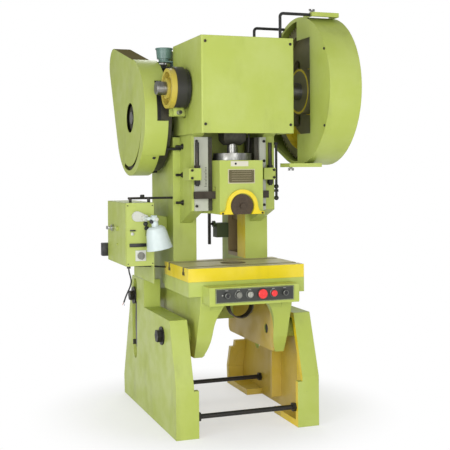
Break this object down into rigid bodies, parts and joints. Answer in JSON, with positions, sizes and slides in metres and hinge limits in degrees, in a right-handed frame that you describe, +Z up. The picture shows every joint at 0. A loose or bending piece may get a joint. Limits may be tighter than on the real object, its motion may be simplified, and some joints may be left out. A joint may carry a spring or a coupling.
{
  "type": "mechanical stamping press",
  "caption": "Open-back inclinable C-frame crank press on a tilting stand, with geared flywheel drive, guarded sides, ram with shank clamp, slotted bolster, button panel and lamp.",
  "frame": {"origin": "on the floor at the centre of the four anchor holes", "axes": "+Z up along the press's height, +X to the right seen from the front, +Y to the back"},
  "size_m": [1.0143, 1.186, 1.917],
  "materials": {
    "green_paint": "semi-gloss enamel",
    "cast_green": "enamel on casting",
    "yellow_paint": "semi-gloss enamel",
    "table_steel": "ground steel",
    "steel": "turned steel",
    "dark_steel": "blackened steel",
    "cast_iron": "dark cast iron",
    "rusty_steel": "bare rolled steel",
    "bronze": "turned bronze",
    "black_metal": "black enamel",
    "black_plastic": "moulded",
    "red_plastic": "moulded",
    "white_plastic": "moulded",
    "white_enamel": "enamelled shade",
    "blue_plastic": "moulded",
    "rubber": "matt",
    "chrome": "bright plated"
  },
  "bodies": {
    "legs": {"left_leg": "cast_green", "right_leg": "cast_green", "tie_rods": "dark_steel", "tie_rod_nuts": "dark_steel", "tilt_pivot_bolts": "dark_steel"},
    "frame": {"frame_casting": "cast_green", "shaft_bushes": "bronze", "tilt_clamp_bolts": "dark_steel", "bolster_plate": "table_steel", "brake_band": "dark_steel", "v_belts": "rubber", "motor": "green_paint", "motor_bracket": "green_paint", "ram_guides": "cast_iron", "gib_plates": "steel", "stop_brackets": "green_paint", "stop_bolts": "dark_steel", "front_cover": "green_paint", "left_guard": "green_paint", "right_guard": "green_paint", "guard_brackets": "black_metal", "panel_box": "green_paint", "panel_plate": "black_metal", "electric_box": "green_paint", "socket": "black_plastic", "cable_gland": "black_plastic", "cord": "rubber", "lamp_base": "white_plastic", "slug_chute": "rusty_steel", "oil_cup": "blue_plastic", "pump_body": "green_paint"},
    "crank": {"crankshaft": "steel", "brake_drum": "cast_iron", "crank_end_nut": "steel"},
    "rod": {"connecting_rod": "cast_iron", "rod_cap": "cast_iron", "ball_screw": "steel"},
    "ram": {"ram": "cast_green", "shank_clamp": "cast_iron", "clamp_arch": "yellow_paint", "gland_ring": "steel", "name_plate": "black_metal"},
    "knockout": {"knockout_bar": "dark_steel"},
    "gear": {"bull_gear": "cast_iron"},
    "drive": {"drive_shaft": "steel", "flywheel": "cast_iron", "pinion": "steel"},
    "motor_drive": {"motor_pulley": "cast_iron"},
    "inch_button": {"inch_button": "chrome"},
    "run_button": {"run_button": "chrome"},
    "mode_selector": {"mode_selector": "white_plastic"},
    "stop_mushroom": {"stop_mushroom": "red_plastic"},
    "stop_button": {"stop_button": "red_plastic"},
    "start_button": {"start_button": "chrome"},
    "door": {"box_door": "green_paint"},
    "door_handle": {"door_handle": "chrome"},
    "switch_knob": {"switch_knob": "white_plastic"},
    "lamp_arm": {"lamp_arm": "white_enamel"},
    "lamp_shade": {"lamp_shade": "white_enamel"},
    "pump_lever": {"pump_lever": "dark_steel"}
  },
  "joints": [
    {"name": "body_tilt", "type": "hinge", "parent": "legs", "child": "frame", "pos_m": [0, -0.256, 0.425], "axis": [-1, 0, 0], "range_deg": [0, 25]},
    {"name": "crank_turn", "type": "hinge", "parent": "frame", "child": "crank", "pos_m": [0, -0.27, 1.56], "axis": [-1, 0, 0], "range_deg": [0, 180]},
    {"name": "rod_swing", "type": "hinge", "parent": "crank", "child": "rod", "pos_m": [0, -0.27, 1.5925], "axis": [-1, 0, 0], "range_deg": [-180, 0]},
    {"name": "ram_stroke", "type": "slide", "parent": "frame", "child": "ram", "axis": [0, 0, 1], "range_m": [-0.065, 0]},
    {"name": "knockout_lift", "type": "slide", "parent": "ram", "child": "knockout", "axis": [0, 0, 1], "range_m": [0, 0.02]},
    {"name": "gear_turn", "type": "hinge", "parent": "frame", "child": "gear", "pos_m": [0.4, -0.27, 1.56], "axis": [-1, 0, 0], "continuous": true},
    {"name": "drive_turn", "type": "hinge", "parent": "frame", "child": "drive", "pos_m": [0, 0.10025, 1.444], "axis": [-1, 0, 0], "continuous": true},
    {"name": "motor_turn", "type": "hinge", "parent": "frame", "child": "motor_drive", "pos_m": [-0.3, 0.45, 1.738], "axis": [-1, 0, 0], "continuous": true},
    {"name": "inch_press", "type": "slide", "parent": "frame", "child": "inch_button", "axis": [0, 1, 0], "range_m": [0, 0.005], "stiffness_N_per_m": 600},
    {"name": "run_press", "type": "slide", "parent": "frame", "child": "run_button", "axis": [0, 1, 0], "range_m": [0, 0.005], "stiffness_N_per_m": 600},
    {"name": "selector_turn", "type": "hinge", "parent": "frame", "child": "mode_selector", "pos_m": [-0.027, -0.55, 0.636], "axis": [0, -1, 0], "range_deg": [-45, 45]},
    {"name": "stop_mushroom_press", "type": "slide", "parent": "frame", "child": "stop_mushroom", "axis": [0, 1, 0], "range_m": [0, 0.005], "stiffness_N_per_m": 600},
    {"name": "stop_press", "type": "slide", "parent": "frame", "child": "stop_button", "axis": [0, 1, 0], "range_m": [0, 0.005], "stiffness_N_per_m": 600},
    {"name": "start_press", "type": "slide", "parent": "frame", "child": "start_button", "axis": [0, 1, 0], "range_m": [0, 0.005], "stiffness_N_per_m": 600},
    {"name": "door_swing", "type": "hinge", "parent": "frame", "child": "door", "pos_m": [-0.4873, -0.149, 0.885], "axis": [0, 0, 1], "range_deg": [0, 110]},
    {"name": "handle_turn", "type": "hinge", "parent": "door", "child": "door_handle", "pos_m": [-0.49, 0.095, 0.905], "axis": [-1, 0, 0], "range_deg": [0, 90]},
    {"name": "switch_turn", "type": "hinge", "parent": "frame", "child": "switch_knob", "pos_m": [-0.416, -0.16, 0.786], "axis": [0, -1, 0], "range_deg": [0, 60]},
    {"name": "lamp_swivel", "type": "hinge", "parent": "frame", "child": "lamp_arm", "pos_m": [-0.398, -0.19, 0.962], "axis": [0, 1, 0], "range_deg": [-35, 10]},
    {"name": "shade_tilt", "type": "hinge", "parent": "lamp_arm", "child": "lamp_shade", "pos_m": [-0.372, -0.226, 0.962], "axis": [1, 0, 0], "range_deg": [-35, 0]},
    {"name": "pump_pull", "type": "hinge", "parent": "frame", "child": "pump_lever", "pos_m": [0.03, 0.16, 0.905], "axis": [1, 0, 0], "range_deg": [-25, 30]}
  ],
  "couplings": [
    {"joint": "rod_swing", "follows": "crank_turn", "ratio": -1},
    {"joint": "ram_stroke", "follows": "crank_turn", "m_per_rad": -0.02069},
    {"joint": "drive_turn", "follows": "gear_turn", "ratio": -5.0625},
    {"joint": "motor_turn", "follows": "gear_turn", "ratio": -20.097}
  ]
}
